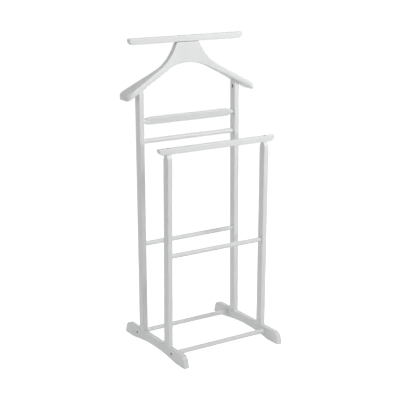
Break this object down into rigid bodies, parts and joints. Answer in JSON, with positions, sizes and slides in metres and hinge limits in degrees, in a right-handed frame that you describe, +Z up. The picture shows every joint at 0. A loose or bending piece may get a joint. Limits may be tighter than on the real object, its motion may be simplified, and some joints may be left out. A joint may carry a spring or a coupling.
{
  "type": "valet stand",
  "caption": "Free-standing white wooden valet stand with arched feet, a contoured coat hanger, a top bar, a trouser rail, a swivelling flat bar and round rungs.",
  "frame": {"origin": "middle of the footprint, on the floor", "axes": "+Z up; -Y is the front, where the front rail is; +X is to the right seen from the front"},
  "size_m": [0.516, 0.396, 1.044],
  "materials": {
    "painted_wood": "white paint, satin, with the grain faintly showing",
    "dark_steel": "black-oxide wood screws",
    "zinc_steel": "zinc-plated",
    "brass": "bare",
    "bare_beech": "bare, fluted dowel"
  },
  "bodies": {
    "frame": {"left_foot": "painted_wood", "right_foot": "painted_wood", "rear_left_post": "painted_wood", "rear_right_post": "painted_wood", "front_left_post": "painted_wood", "front_right_post": "painted_wood", "rear_lower_rung": "painted_wood", "front_lower_rung": "painted_wood", "rear_middle_rung": "painted_wood", "front_middle_rung": "painted_wood", "upper_rung": "painted_wood", "front_rail": "painted_wood", "hanger": "painted_wood", "top_bar": "painted_wood", "lower_rung_screws": "dark_steel", "front_rail_screws": "dark_steel", "hanger_screws": "dark_steel", "top_bar_screws": "dark_steel", "foot_bolts": "zinc_steel", "bolt_washers": "zinc_steel", "post_inserts": "brass", "foot_dowel_pins": "bare_beech", "hanger_dowel_pins": "bare_beech"},
    "swivel": {"swivel_bar": "painted_wood"}
  },
  "joints": [
    {"name": "swivel_bar_turn", "type": "hinge", "parent": "frame", "child": "swivel", "pos_m": [0, 0.08887, 0.772], "axis": [1, 0, 0], "continuous": true}
  ]
}
